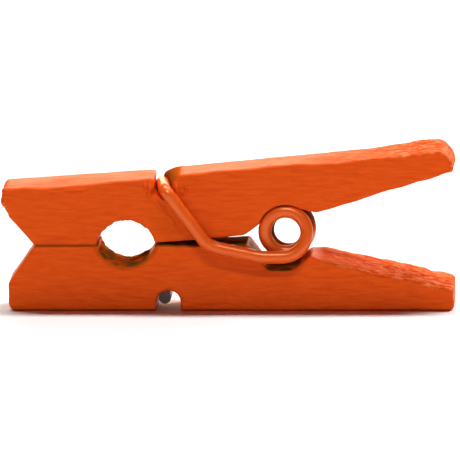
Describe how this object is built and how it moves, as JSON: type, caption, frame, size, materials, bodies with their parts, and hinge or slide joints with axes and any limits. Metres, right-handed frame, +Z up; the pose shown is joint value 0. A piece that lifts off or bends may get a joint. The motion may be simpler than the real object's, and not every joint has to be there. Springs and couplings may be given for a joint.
{
  "type": "spring clothespin",
  "caption": "Miniature wooden spring clothespin with two tapered legs held together by a coiled wire spring, painted orange all over.",
  "frame": {"origin": "middle of the footprint of the closed pin, on the underside of the lower leg", "axes": "+X from the jaws to the handles, +Y away from the front face with the front arm of the spring, +Z up from the lower leg to the upper leg"},
  "size_m": [0.0252, 0.0048, 0.0091],
  "materials": {
    "painted_wood": "brushed orange paint over coarse grain, satin",
    "painted_wire": "thick orange paint over steel wire, semi-gloss"
  },
  "bodies": {
    "lower_leg": {"lower_leg": "painted_wood"},
    "upper_leg": {"upper_leg": "painted_wood"},
    "spring": {"torsion_spring": "painted_wire"}
  },
  "joints": [
    {"name": "squeeze_hinge", "type": "hinge", "parent": "lower_leg", "child": "upper_leg", "pos_m": [0.00321, 0, 0.00446], "axis": [0, 1, 0], "range_deg": [0, 38], "stiffness_Nm_per_rad": 0.02, "deforming": ["torsion_spring"]},
    {"name": "spring_twist", "type": "hinge", "parent": "lower_leg", "child": "spring", "pos_m": [0.00321, 0, 0.00446], "axis": [0, 1, 0], "range_deg": [0, 19]}
  ],
  "couplings": [
    {"joint": "spring_twist", "follows": "squeeze_hinge", "ratio": 0.5}
  ]
}
